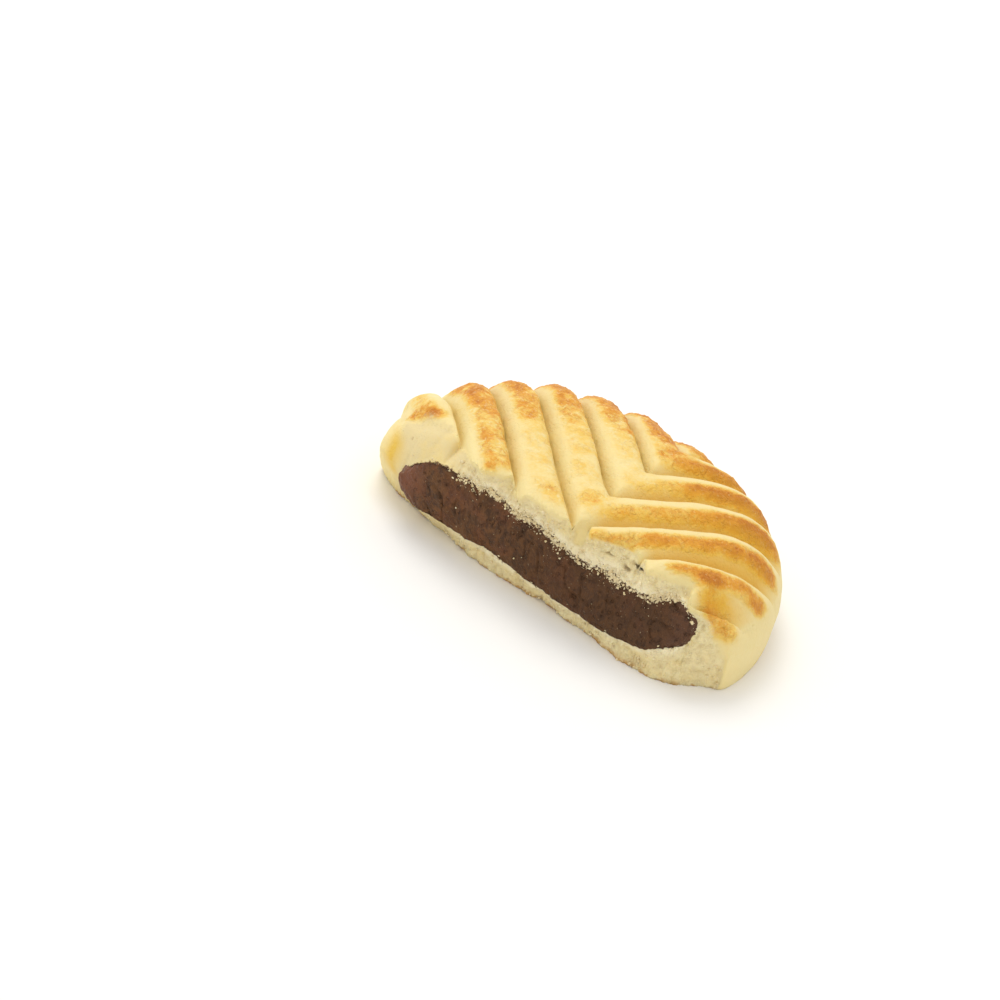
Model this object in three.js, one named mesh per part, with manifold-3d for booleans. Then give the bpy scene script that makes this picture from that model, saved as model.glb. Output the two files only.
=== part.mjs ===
import * as THREE from 'three';
import { ParametricGeometry } from 'three/addons/geometries/ParametricGeometry.js';
import { mergeVertices } from 'three/addons/utils/BufferGeometryUtils.js';
import Module from 'manifold-3d';

const wasm = await Module();
wasm.setup();
const { Manifold, Mesh } = wasm;

// the whole cookie before it was broken, in millimetres
const RADIUS = 28;
const HEIGHT = 15.2;
const EQUATOR = 5;
const BASE_RATIO = 0.985;
const DOME_POWER = 5.6;
const DOME_ROOT = 1.52;

// hand pressing leaves the outline a little out of round
const OVAL = 0.071;
const OVAL_ANGLE = THREE.MathUtils.degToRad(-32.4);
const LOBE = 0.02;
const LOBE_ANGLE = THREE.MathUtils.degToRad(53.3);
const DENT = 0.75;
const DENT_X = 5.7;
const DENT_Y = 22.9;
const DENT_SPREAD = 6;

// herringbone ridges pressed into the top
const RIDGE_PITCH = 6.09;
const RIDGE_DEPTH = 2.46;
const RIDGE_ROUND = 0.897;
const ARM_ANGLE = THREE.MathUtils.degToRad(40);
const SPINE_X = 3.5;
const SPINE_Y = -10.9;
const BEND_LEFT = 0.52;
const BEND_RIGHT = -1.39;
const BEND_SPAN = 25;
const RIDGE_FADE_FROM = 0.86;
const RIDGE_FADE_TO = 1.02;
const SHOULDER = 0.965;
const SHOULDER_SLOPE = 57;

// cutting blocks reach past the cookie on every side
const REACH_X = 32;
const BELOW = -8;

// the broken edge
const BREAK_Y = -10.8;
const BREAK_TURN = 0.1;
const TOP_PULL = 7.2;
const BASE_PULL = 3.8;
const LEFT_END_PULL = 2.4;
const RIGHT_END_PULL = 4.4;
const BREAK_ROUGHNESS = 0.3;

// date filling, a thick disc with a rounded edge
const FILLING_RIM = 3.7;
const FILLING_SHIFT = -0.3;
const FILLING_LOW = 2.8;
const FILLING_HIGH = 10.5;
const FILLING_RISE = 0.01;
const FILLING_EDGE = 0.7;
const FILLING_FLATNESS = 0.48;
const FILLING_BULGE = 0.4;
const GAP = 0.3;

const sinArm = Math.sin(ARM_ANGLE);
const cosArm = Math.cos(ARM_ANGLE);
const smooth = THREE.MathUtils.smoothstep;

// distance from the centre to the outline in one direction
function outlineRadius(angle) {
  const oval = OVAL * Math.cos(2 * (angle - OVAL_ANGLE));
  return RADIUS * (1 + oval + LOBE * Math.cos(3 * (angle - LOBE_ANGLE)));
}

// share of the way from the centre to the outline
function reach(x, y) {
  return Math.hypot(x, y) / outlineRadius(Math.atan2(y, x));
}

function crown(q) {
  return EQUATOR + (HEIGHT - EQUATOR) * Math.pow(1 - Math.pow(q, DOME_POWER), 1 / DOME_ROOT);
}

// past the shoulder the height runs on as a straight slope, so that the wall cuts it cleanly
function domeHeight(q) {
  const slope = Math.max(q - SHOULDER, 0) * SHOULDER_SLOPE;
  return Math.max(crown(Math.min(q, SHOULDER)) - slope, -1);
}

// distance across the ridges, square to the arms of the herringbone, which bend a little
function acrossRidges(x, y) {
  const along = Math.abs(x - SPINE_X);
  const bend = x < SPINE_X ? BEND_LEFT : BEND_RIGHT;
  return (y - SPINE_Y) * sinArm - along * cosArm - bend * (along / BEND_SPAN) ** 2;
}

// the same relation turned round, for laying mesh rows along the arms
function ridgeLineY(x, across) {
  const along = Math.abs(x - SPINE_X);
  const bend = x < SPINE_X ? BEND_LEFT : BEND_RIGHT;
  return SPINE_Y + (across + along * cosArm + bend * (along / BEND_SPAN) ** 2) / sinArm;
}

// each ridge is an arc of a circle, and two arcs meet in a sharp groove
function grooveDepth(across) {
  const turn = across / RIDGE_PITCH;
  const offCrest = Math.abs(turn - Math.floor(turn) - 0.5) * 2 * RIDGE_ROUND;
  return (RIDGE_DEPTH * (1 - Math.sqrt(1 - offCrest * offCrest)))
    / (1 - Math.sqrt(1 - RIDGE_ROUND * RIDGE_ROUND));
}

function topHeight(x, y) {
  const q = reach(x, y);
  const fade = 1 - smooth(q, RIDGE_FADE_FROM, RIDGE_FADE_TO);
  const fromDent = Math.hypot(x - DENT_X, y - DENT_Y) / DENT_SPREAD;
  const dent = DENT * Math.exp(-0.5 * fromDent * fromDent);
  return domeHeight(q) - grooveDepth(acrossRidges(x, y)) * fade - dent;
}

// where the broken face stands at each length and height
function breakFace(x, z, rough) {
  const left = smooth(-x, 10, 23);
  const above = smooth(z, FILLING_HIGH - 0.5, HEIGHT - 1.5);
  const below = 1 - smooth(z, 0, FILLING_LOW + 1.4);
  const turned = -BREAK_TURN * x * (1 - smooth(z, 2, HEIGHT));
  const wave = Math.sin(0.93 * x + 0.5 * z) + 0.7 * Math.sin(2.13 * x - 0.8 * z + 1)
    + 0.5 * Math.sin(1.7 * z + 0.6 * x);
  const pull = left * (above * TOP_PULL + below * BASE_PULL);
  const leftEnd = smooth(-x, 21, 27) * LEFT_END_PULL;
  const rightEnd = smooth(x, 20, 28) * RIGHT_END_PULL * (1 - 0.7 * smooth(z, 1, 9));
  return BREAK_Y + turned + pull + leftEnd + rightEnd + rough * wave;
}

// welds a geometry's corners and gives it to the solid modeller, facing outward
function solid(geometry) {
  const bare = new THREE.BufferGeometry();
  bare.setAttribute('position', geometry.getAttribute('position').clone());
  bare.setIndex(geometry.getIndex());
  const merged = mergeVertices(bare, 1e-4);
  const index = merged.getIndex().array;
  const faces = [];
  for (let i = 0; i < index.length; i += 3) {
    const [a, b, c] = [index[i], index[i + 1], index[i + 2]];
    if (a !== b && b !== c && c !== a) faces.push(a, b, c);
  }
  const make = (list) => new Manifold(new Mesh({
    numProp: 3,
    vertProperties: new Float32Array(merged.getAttribute('position').array),
    triVerts: new Uint32Array(list),
  }));
  const first = make(faces);
  if (first.volume() > 0) return first;
  const turned = [];
  for (let i = 0; i < faces.length; i += 3) turned.push(faces[i], faces[i + 2], faces[i + 1]);
  return make(turned);
}

// flat base, rounded lower side, then the shoulder and a wall that stands clear of the top
function wallProfile(v) {
  if (v <= 0.1) return [(v / 0.1) * BASE_RATIO, 0];
  if (v <= 0.5) {
    const turn = ((v - 0.1) / 0.4) * (Math.PI / 2);
    return [BASE_RATIO + (1 - BASE_RATIO) * Math.sin(turn), EQUATOR * (1 - Math.cos(turn))];
  }
  if (v <= 0.81) {
    const q = 1 - (1 - SHOULDER) * ((v - 0.5) / 0.3) ** 2;
    return [q, crown(q)];
  }
  return [v <= 0.91 ? SHOULDER : 0, HEIGHT + 3];
}

function wallSolid() {
  const place = (u, v, target) => {
    const [share, z] = wallProfile(v);
    const angle = 2 * Math.PI * (u === 1 ? 0 : u);
    const radius = share * outlineRadius(angle);
    target.set(radius * Math.cos(angle), radius * Math.sin(angle), z);
  };
  return solid(new ParametricGeometry(place, 96, 10));
}

// fans over both open ends of a tube made by ParametricGeometry
function closeEnds(tube, columns, perColumn) {
  const position = tube.getAttribute('position');
  const index = Array.from(tube.getIndex().array);
  const points = Array.from(position.array);
  [0, columns - 1].forEach((i) => {
    const hub = points.length / 3;
    const low = (perColumn - 3) * columns + i;
    points.push(position.getX(low), position.getY(low), position.getZ(low) + 2);
    for (let j = 0; j < perColumn - 1; j += 1) {
      const [a, b] = [j * columns + i, (j + 1) * columns + i];
      if (i === 0) index.push(hub, a, b);
      else index.push(hub, b, a);
    }
  });
  const closed = new THREE.BufferGeometry();
  closed.setAttribute('position', new THREE.Float32BufferAttribute(points, 3));
  closed.setIndex(index);
  return closed;
}

// block whose upper face carries the dome and the ridges, its rows laid along the arms
function ridgedBlock() {
  const perArm = 26;
  const columns = [];
  for (let i = 0; i <= perArm; i += 1) columns.push(-REACH_X + (SPINE_X + REACH_X) * (i / perArm));
  for (let i = 1; i <= perArm; i += 1) columns.push(SPINE_X + (REACH_X - SPINE_X) * (i / perArm));
  const stepsInRidge = [0, 0.06, 0.19, 0.36, 0.5, 0.64, 0.81, 0.94];
  const rows = [];
  for (let k = -6; k < 5; k += 1) stepsInRidge.forEach((t) => rows.push((k + t) * RIDGE_PITCH));
  rows.push(5 * RIDGE_PITCH);
  const last = rows.length - 1;
  const ring = last + 4;
  const place = (u, v, target) => {
    const x = columns[Math.round(u * (columns.length - 1))];
    const j = Math.round(v * ring) % ring;
    const front = ridgeLineY(x, rows[0]);
    const back = ridgeLineY(x, rows[last]);
    if (j <= last) {
      const y = ridgeLineY(x, rows[j]);
      target.set(x, y, topHeight(x, y));
    } else {
      target.set(x, back + (front - back) * ((j - last - 1) / 2), BELOW);
    }
  };
  const tube = new ParametricGeometry(place, columns.length - 1, ring);
  return solid(closeEnds(tube, columns.length, ring + 1));
}

// box in front of the break, its far face pushed to the broken surface
function breakCutter(shift, rough, columns, rows) {
  const box = new THREE.BoxGeometry(2.2 * REACH_X, 2, 1.6 * HEIGHT, columns, 1, rows);
  const position = box.getAttribute('position');
  for (let i = 0; i < position.count; i += 1) {
    const [x, z] = [position.getX(i), position.getZ(i) + HEIGHT / 2];
    const y = position.getY(i) > 0 ? breakFace(x, z, rough) - shift : -1.5 * RADIUS;
    position.setXYZ(i, x, y, z);
  }
  return solid(box);
}

// the filling keeps one distance from the outline and rises a little toward the left
function fillingShape(extra) {
  const middle = (FILLING_LOW + FILLING_HIGH) / 2;
  const half = (FILLING_HIGH - FILLING_LOW) / 2 + extra;
  const place = (u, v, target) => {
    const turn = Math.PI * (v - 0.5);
    const flat = v === 0 || v === 1 ? 0 : Math.pow(Math.cos(turn), FILLING_FLATNESS);
    const rise = half * Math.sign(turn) * Math.pow(Math.abs(Math.sin(turn)), FILLING_EDGE);
    const angle = 2 * Math.PI * (u === 1 ? 0 : u);
    const radius = flat * (outlineRadius(angle) - FILLING_RIM + extra);
    const x = FILLING_SHIFT + radius * Math.cos(angle);
    target.set(x, radius * Math.sin(angle), middle + rise - FILLING_RISE * x);
  };
  return solid(new ParametricGeometry(place, 56, 22));
}

const whole = Manifold.intersection(wallSolid(), ridgedBlock());
const broken = whole.subtract(breakCutter(0, BREAK_ROUGHNESS, 64, 20));
const doughSolid = broken.subtract(fillingShape(GAP));
const fillingCutter = breakCutter(FILLING_BULGE, 0.9 * BREAK_ROUGHNESS, 48, 16);
const fillingSolid = fillingShape(0).subtract(fillingCutter);

// the piece stands on the middle of its own box
const bounds = Manifold.union(doughSolid, fillingSolid).boundingBox();
const [low, high] = [bounds.min, bounds.max];
const shift = [-(low[0] + high[0]) / 2, -(low[1] + high[1]) / 2, -low[2]];

function toMesh(shape, name, material) {
  const data = shape.translate(shift).getMesh();
  const geometry = new THREE.BufferGeometry();
  geometry.setAttribute('position', new THREE.BufferAttribute(new Float32Array(data.vertProperties), 3));
  geometry.setIndex(new THREE.BufferAttribute(new Uint32Array(data.triVerts), 1));
  geometry.computeVertexNormals();
  const mesh = new THREE.Mesh(geometry, material);
  mesh.name = name;
  return mesh;
}

const bakedDough = new THREE.MeshStandardMaterial({ color: 0xe3bd7c, roughness: 0.78, metalness: 0 });
const datePaste = new THREE.MeshStandardMaterial({ color: 0x4a2a1e, roughness: 0.6, metalness: 0 });

const cookie = new THREE.Group();
cookie.name = 'maamoul_cookie';
cookie.add(toMesh(doughSolid, 'dough', bakedDough));
cookie.add(toMesh(fillingSolid, 'filling', datePaste));

export default cookie;
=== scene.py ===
from types import SimpleNamespace

import bpy
import numpy as np
from mathutils import Matrix, Vector


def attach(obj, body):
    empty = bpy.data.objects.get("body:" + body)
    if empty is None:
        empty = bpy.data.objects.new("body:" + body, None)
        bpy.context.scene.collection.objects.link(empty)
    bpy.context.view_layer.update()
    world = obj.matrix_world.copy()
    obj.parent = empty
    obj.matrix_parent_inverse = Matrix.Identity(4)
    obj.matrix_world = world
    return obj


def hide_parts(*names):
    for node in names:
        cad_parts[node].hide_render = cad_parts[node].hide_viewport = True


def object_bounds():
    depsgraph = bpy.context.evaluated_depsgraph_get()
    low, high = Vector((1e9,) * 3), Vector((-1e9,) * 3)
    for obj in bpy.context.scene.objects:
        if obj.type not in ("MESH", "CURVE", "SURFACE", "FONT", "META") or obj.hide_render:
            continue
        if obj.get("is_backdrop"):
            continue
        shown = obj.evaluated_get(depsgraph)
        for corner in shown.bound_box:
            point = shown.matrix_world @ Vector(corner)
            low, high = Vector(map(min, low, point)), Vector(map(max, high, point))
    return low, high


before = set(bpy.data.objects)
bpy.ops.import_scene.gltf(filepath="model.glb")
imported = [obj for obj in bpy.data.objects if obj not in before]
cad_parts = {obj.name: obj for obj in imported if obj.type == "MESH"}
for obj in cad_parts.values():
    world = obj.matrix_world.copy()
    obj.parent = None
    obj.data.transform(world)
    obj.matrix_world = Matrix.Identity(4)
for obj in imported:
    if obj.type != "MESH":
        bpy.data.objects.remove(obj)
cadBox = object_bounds()
print("frame loaded")

# the whole cookie before it was broken, in millimetres about the middle of the disc
cookie = dict(
    radius=28, height=15.2, equator=5, baseShare=0.985, domePower=5.6, domeRoot=1.52, shoulder=0.965,
    oval=0.071, ovalAngle=np.radians(-32.4), lobe=0.02, lobeAngle=np.radians(53.3),
    dent=0.75, dentX=5.7, dentY=22.9, dentSpread=6,
    knobs=[  # the first ridge ends in a lump and a dip: x, y, half widths, height
        (-24.8, -1.6, 2, 2.4, 0.8), (-27.4, -3.4, 1.2, 2.2, -0.6),
    ],
    place=(0.5544, -6.895, 0),  # from the disc's middle to the part's origin
)

# herringbone pressed into the top; each zone is the range over which something sets in
ridges = dict(
    pitch=6.09, depth=2.46, roundness=0.897, armAngle=np.radians(40), spineX=4.1, spineY=-11.3,
    bendLeft=0.52, bendRight=-1.39, bendSpan=25, elbow=0.45,
    flatness=0.8, steepness=5, rounder=0.55, rounderZone=(-1, 5),  # flat tops, rounder on the right
    slit=0.22, slitWidth=0.2,  # the pinched line at the foot of each groove
    flatZone=(0.86, 0.6), slitZone=(0.96, 0.82), fadeZone=(1.02, 0.86), innerZone=(1, 0.97),
    sway=0.22, swayLength=9, swell=0.16, swellLength=6,  # hand-made unevenness
    blister=0.2, blisterSize=1.3, pimple=0.07, pimpleSize=0.55,
)


# shapes shared by the pieces

def smooth(value, start, end):  # an s-curve from 0 at the start to 1 at the end of a range, either way round
    t = np.clip((value - start) / (end - start), 0, 1)
    return t * t * (3 - 2 * t)


def smoothMax(a, b, corner):  # the larger of two, its corner rounded
    return 0.5 * (a + b + np.sqrt((a - b) ** 2 + corner ** 2))


def bell(offset, width):  # 1 in the middle, about a third at the width, 0 far away
    return np.exp(-(offset / width) ** 2)


def lumps(points, size, seed):
    # random heights at the corners of a cubic lattice, blended by s-curves in between, -1 to 1
    heights = np.random.default_rng(seed).uniform(-1, 1, (32, 32, 32))
    cell = points / size + 100.5
    corner = np.floor(cell).astype(int)
    t = cell - corner
    t = t * t * (3 - 2 * t)
    total = np.zeros(points.shape[:-1])
    for step in np.ndindex(2, 2, 2):
        weight = np.where(step, t, 1 - t).prod(-1)
        at = (corner + step) % 32
        total += weight * heights[at[..., 0], at[..., 1], at[..., 2]]
    return total


def layers(points, parts):  # lumps of several heights, sizes and seeds added up
    return sum(height * lumps(points, size, seed) for height, size, seed in parts)


def somePlaces(points, size, seed):  # a mask that is 1 on the higher lumps
    return smooth(lumps(points, size, seed), -0.1, 0.3)


def crumbs(points, size, seed):
    # each cell of a lattice holds one random point; 1 at a point, falling to 0 three quarters of a cell away
    offset = np.random.default_rng(seed).uniform(0, 1, (32, 32, 32, 3))
    cell = points / size + 100.5
    corner = np.floor(cell).astype(int)
    nearest = np.full(points.shape[:-1], 9.0)
    for step in np.ndindex(3, 3, 3):
        at = corner + np.array(step) - 1
        wrapped = at % 32
        spot = at + offset[wrapped[..., 0], wrapped[..., 1], wrapped[..., 2]]
        nearest = np.minimum(nearest, np.linalg.norm(cell - spot, axis=-1))
    return np.clip(1 - nearest / 0.75, 0, 1)


def onLine(x):  # points for lumps that change along the break only
    return np.stack([x, x * 0, x * 0], -1)


def curve(x, knots):  # straight lines from one listed point to the next
    knots = np.array(knots, float)
    return np.interp(x, knots[:, 0], knots[:, 1])


def outlineRadius(angle):  # a circle with a small two-lobed and three-lobed swing
    c = cookie
    two = c["oval"] * np.cos(2 * (angle - c["ovalAngle"]))
    return c["radius"] * (1 + two + c["lobe"] * np.cos(3 * (angle - c["lobeAngle"])))


def reach(x, y):  # share of the way from the middle to the outline
    return np.hypot(x, y) / outlineRadius(np.arctan2(y, x))


def crown(q):  # a flat-topped dome: height falls as a power of the share
    c = cookie
    rise = np.clip(1 - np.clip(q, 0, 1) ** c["domePower"], 0, 1) ** (1 / c["domeRoot"])
    return c["equator"] + (c["height"] - c["equator"]) * rise


def fromSpine(x):  # distance to the spine, its corner rounded
    return np.sqrt((x - ridges["spineX"]) ** 2 + ridges["elbow"] ** 2) - ridges["elbow"]


def armBend(x, along):  # the arms bend by the square of the distance to the spine
    r = ridges
    return np.where(x < r["spineX"], r["bendLeft"], r["bendRight"]) * (along / r["bendSpan"]) ** 2


def acrossRidges(x, y):  # distance square to the arms, less their bend
    r = ridges
    along = fromSpine(x)
    slant = (y - r["spineY"]) * np.sin(r["armAngle"]) - along * np.cos(r["armAngle"])
    return slant - armBend(x, along)


def ridgeLineY(x, across):  # the same relation turned round
    r = ridges
    along = fromSpine(x)
    rise = across + along * np.cos(r["armAngle"]) + armBend(x, along)
    return r["spineY"] + rise / np.sin(r["armAngle"])


def shareOver(across):  # 0 to 1 over each ridge, from one groove to the next
    return across / ridges["pitch"] - np.floor(across / ridges["pitch"])


def offCrest(across):  # 0 on a crest, 1 in a groove
    return np.abs(shareOver(across) - 0.5) * 2


def grooveDepth(across, flat):
    # arcs of a circle that meet in a sharp groove, mixed with a high power of the same distance
    r = ridges
    off = offCrest(across)
    arc = (1 - np.sqrt(1 - (off * r["roundness"]) ** 2)) / (1 - np.sqrt(1 - r["roundness"] ** 2))
    return r["depth"] * (arc + flat * (off ** r["steepness"] - arc))


def topHeight(x, y):
    # dome height less the groove, its pinched foot and a shallow dent, plus the end knobs and slow swells
    c, r = cookie, ridges
    q = reach(x, y)
    flat = np.stack([x, y, np.zeros_like(x)], -1)
    across = acrossRidges(x, y)
    near = 1 - offCrest(across)
    sway = r["sway"] * lumps(flat, r["swayLength"], 3) * np.clip(near * 3, 0, 1)
    rounder = r["rounder"] * smooth(x - r["spineX"], *r["rounderZone"])
    pressed = r["flatness"] * smooth(q, *r["flatZone"]) * (1 - rounder)
    inner = smooth(q, *r["innerZone"])
    fade = smooth(q, *r["fadeZone"]) * inner
    pinch = r["slit"] * bell(near * r["pitch"] / 2, r["slitWidth"]) * smooth(q, *r["slitZone"])
    dent = c["dent"] * np.exp(-0.5 * ((x - c["dentX"]) ** 2 + (y - c["dentY"]) ** 2) / c["dentSpread"] ** 2)
    knob = sum(k[4] * np.exp(-((x - k[0]) / k[2]) ** 2 - ((y - k[1]) / k[3]) ** 2) for k in c["knobs"])
    swell = r["swell"] * lumps(flat, r["swellLength"], 4)
    groove = grooveDepth(across + sway, pressed) * fade
    return crown(q) - groove - pinch + (knob - dent) * inner + swell * fade


def shareAt(z):  # the wall's profile turned round: share of the outline at a height
    c = cookie
    rise = np.clip((z - c["equator"]) / (c["height"] - c["equator"]), 0, 1)
    upper = np.maximum((1 - rise ** c["domeRoot"]) ** (1 / c["domePower"]), c["shoulder"])
    turn = np.arccos(np.clip(1 - z / c["equator"], 0, 1))
    return np.where(z >= c["equator"], upper, lowWallShare(turn))


def lowWallShare(turn):  # below the widest line the wall draws in by the sine of a turn
    return cookie["baseShare"] + (1 - cookie["baseShare"]) * np.sin(turn)


def outlineBranches():
    # the outline as an upper and a lower curve over x, from its leftmost to its rightmost point
    steps = 7200
    angle = np.linspace(0, 2 * np.pi, steps + 1)[:-1]
    radius = outlineRadius(angle)
    x, y = radius * np.cos(angle), radius * np.sin(angle)
    right, left = np.argmax(x), np.argmin(x)
    upper = np.arange(right, left + (0 if left > right else steps) + 1) % steps
    lower = np.arange(left, right + (0 if right > left else steps) + 1) % steps
    return (x[upper][::-1], y[upper][::-1]), (x[lower], y[lower])


def columnX(count):
    # columns run across the cookie in even steps of arc, one of them on the spine
    (upperX, upperY), (lowerX, lowerY) = outlineBranches()
    turn = np.linspace(0, np.pi, count + 1)
    middle, half = (upperX[-1] + upperX[0]) / 2, (upperX[-1] - upperX[0]) / 2
    x = middle - half * np.cos(turn)
    spine = ridges["spineX"] / cookie["shoulder"]
    x[np.argmin(np.abs(x - spine))] = spine
    return x, np.interp(x, upperX, upperY), np.interp(x, lowerX, lowerY)


def weld(points, values):
    # turns a grid, closed in its second direction, into joined vertices and faces without empty ones
    columns, rows = points.shape[:2]
    flat = points.reshape(-1, 3)
    key = np.round(flat * 2e4).astype(np.int64)  # points within 0.00005 mm become one
    _, first, index = np.unique(key, axis=0, return_index=True, return_inverse=True)
    index = index.reshape(columns, rows)
    a, b = index[:-1], index[1:]
    quads = np.stack([a, b, np.roll(b, -1, 1), np.roll(a, -1, 1)], -1).reshape(-1, 4)
    tris = np.concatenate([quads[:, [0, 1, 2]], quads[:, [0, 2, 3]]])
    full = (tris[:, 0] != tris[:, 1]) & (tris[:, 1] != tris[:, 2]) & (tris[:, 2] != tris[:, 0])
    return flat[first], tris[full], {name: v.reshape(-1)[first] for name, v in values.items()}


def closed(points, values):
    # the joined surface of a grid, turned round if its enclosed volume is negative, and at each vertex
    # the crossed edges of the faces round it, added up and brought to length 1
    points, tris, values = weld(points, values)
    a, b, c = points[tris.T]
    face = np.cross(b - a, c - a)
    if (a * face).sum() < 0:
        tris, face = tris[:, ::-1], -face
    normal = [np.bincount(tris.ravel(), np.repeat(face[:, k], 3), len(points)) for k in range(3)]
    normal = np.stack(normal, -1)
    return points, tris, values, normal / np.maximum(np.linalg.norm(normal, axis=1, keepdims=True), 1e-12)


def newObject(name, data):  # an object at the origin, linked into the scene
    item = bpy.data.objects.new(name, data)
    bpy.context.scene.collection.objects.link(item)
    return item


def makePiece(name, points, tris, values, material, shade=True):
    # a mesh from points in millimetres, with each value as an attribute that the material reads
    mesh = bpy.data.meshes.new(name)
    metres = (points + np.array(cookie["place"])) * 0.001
    mesh.from_pydata(metres.tolist(), [], tris.tolist())
    for key, value in values.items():
        mesh.attributes.new(key, "FLOAT", "POINT").data.foreach_set("value", value.astype(np.float32))
    mesh.polygons.foreach_set("use_smooth", np.full(len(tris), shade))
    mesh.materials.append(material)
    mesh.update()
    piece = newObject(name, mesh)
    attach(piece, "root")
    print(name, len(tris), "triangles")
    return piece


# the broken edge, as heights and depths over x
tear = dict(
    topEdge=[  # how far forward the crust reaches on each ridge
        (-29, 0), (-26.6, -2.3), (-25.2, -3.1), (-22.5, -5), (-20.2, -5.6), (-17.5, -5.9), (-16, -6.4),
        (-14.9, -7.3), (-13.4, -8.9), (-12.2, -10.2), (-10.6, -11), (-9.4, -10.9), (-8.2, -10.3),
        (-7.3, -9.8), (-6.6, -9), (-6, -9.2), (-5, -10.4), (-3.8, -11.4), (-2.4, -11.4), (-0.8, -12),
        (0.8, -12.3), (2.4, -12.2), (3.5, -11.8), (4, -11), (4.5, -10.3), (5.2, -10), (5.8, -10.3),
        (6.3, -11.5), (6.9, -12.4), (7.8, -12), (8.9, -11.6), (9.8, -11.1), (10.6, -10.6), (11.8, -10.1),
        (13.3, -10.3), (14.3, -10.8), (15, -12), (15.6, -12.5), (16.5, -12), (17.3, -11.5), (18.1, -10.9),
        (19.1, -10.2), (20, -9.6), (20.6, -9.3), (21.2, -10.5), (21.9, -11.3), (22.8, -10.6), (24, -10),
        (25.3, -9.6), (27, -9.2), (29, -8.6),
    ],
    baseEdge=[  # the thin lower crust, seen at the foot of the break
        (-29, -1), (-24, -4), (-20.3, -5.4), (-15.5, -6.6), (-7.7, -9.1), (-1.2, -9.6), (2.5, -9.4),
        (6.2, -10.3), (10.4, -11), (14.2, -12.3), (20.5, -12.6), (21.8, -12.3), (23, -11.3),
        (25, -9.8), (27, -8.3), (29, -6.2),
    ],
    fillingTop=[
        (-21.8, 5.9), (-21.65, 6.5), (-21.3, 7.1), (-20.7, 7.8), (-19.9, 8.6), (-18.9, 9.5), (-17.4, 10.4),
        (-15.6, 11), (-13.1, 10.7), (-10.1, 11), (-7.9, 11.3), (-5.2, 10.5), (-2.1, 10.5), (1.1, 10.2),
        (2.9, 9.6), (5.1, 9.1), (7.7, 9.2), (10.5, 9.8), (12.3, 9.3), (15.3, 9.4), (17.9, 10.2), (19.1, 10.7),
        (20.3, 10.8), (21.3, 10.6), (22.1, 10), (22.7, 9.2), (23, 8),
    ],
    fillingBottom=[
        (-21.8, 5.9), (-21.5, 5.1), (-20.9, 4.4), (-20.1, 3.8), (-18.8, 3.1), (-17, 2.8), (-6.4, 3.3),
        (-3.1, 3.1), (0.4, 2.6), (10.1, 2.5), (11.8, 2.2), (14.7, 2.7), (17.6, 3.4), (19.6, 4.3), (21.2, 5.2),
        (22.3, 6), (22.8, 6.9), (23, 8),
    ],
    # height, size and seed of the jags along the crust, the foot and the filling's two edges
    topJags=[(0.22, 0.9, 21), (0.1, 0.4, 22)], footJags=[(0.45, 1.3, 23), (0.3, 0.5, 24), (0.15, 0.24, 25)],
    lipJags=[(0.3, 1.4, 11), (0.28, 0.55, 13), (0.16, 0.28, 15)],
    lowLipJags=[(0.12, 1.6, 12), (0.06, 0.6, 14)],
    breakY=-10.8, turn=0.1, turnFrom=2,
    leftBack=2.4, leftZone=(21, 27), rightBack=3.4, rightZone=(22, 28.5),  # the two ends fall back
    bulge=0.5, rim=3.7, rimAt=6.5,  # the filling bows out, in a rim of dough measured at a height
    lip=0.12,  # the filling reaches this far into the dough
)


def breakFaceY(x, z):  # the face turns a little with height, and its ends fall back
    t = tear
    back = smooth(-x, *t["leftZone"]) * t["leftBack"] + smooth(x, *t["rightZone"]) * t["rightBack"]
    return t["breakY"] - t["turn"] * x * (1 - smooth(z, t["turnFrom"], cookie["height"])) + back


def lipOf(x, extra):
    # y and z of the filling's upper and lower edge on the face, drawn together at its two ends
    t = tear
    high, low = curve(x, t["fillingTop"]), curve(x, t["fillingBottom"])
    middle, half = (high + low) / 2, (high - low) / 2
    half = half + extra * np.minimum(half, 1)
    jagged = np.minimum(half, 1) * smooth(x, -18, -13) * smooth(x, 22, 19)
    upZ = middle + half + jagged * layers(onLine(x), t["lipJags"])
    downZ = middle - half + jagged * layers(onLine(x), t["lowLipJags"])
    upY, downY = breakFaceY(x, upZ - 0.8), breakFaceY(x, downZ + 0.8)
    apart = smooth(half, 0, 0.6)
    meanY = (upY + downY) / 2
    return (meanY + (upY - meanY) * apart, upZ), (meanY + (downY - meanY) * apart, downZ)


def rearArc(x, extra):
    # the filling's rim from one end of the break round the back to the other, one point for each column
    t = tear
    left, right = t["fillingTop"][0][0], t["fillingTop"][-1][0]
    share = np.arccos(1 - 2 * np.clip((x - left) / (right - left), 0, 1)) / np.pi
    endX, endY = np.array([left, right]), breakFaceY(np.array([left, right]), t["rimAt"])
    begin, end = np.arctan2(endY, endX) + (2 * np.pi, 0)
    inset = outlineRadius(np.array([begin, end])) - np.hypot(endX, endY) - t["rim"]
    angle = begin + (end - begin) * share
    fromRim = t["rim"] + inset[0] * np.exp(-share / 0.06) + inset[1] * np.exp(-(1 - share) / 0.06)
    radius = outlineRadius(angle) - fromRim + extra
    return radius * np.cos(angle), radius * np.sin(angle)


def bodyRows(lip, joint, rear, k, sign):
    # from an edge on the face back to the rim, the height closing like a quarter of an ellipse
    rearX, rearY = rear
    x = lip[:, :1] + (rearX[:, None] - lip[:, :1]) * k
    y = lip[:, 1:2] + (rearY[:, None] - lip[:, 1:2]) * k
    half = (lip[:, 2:3] - joint) * sign
    return np.stack([x, y, joint + sign * half * np.sqrt(np.maximum(1 - k ** 2, 0))], -1)


def quarterSteps(count):  # shares from 0 to 1 that crowd toward the end
    return np.sin(np.pi / 2 * np.arange(1, count + 1) / count)[None, :]


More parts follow.
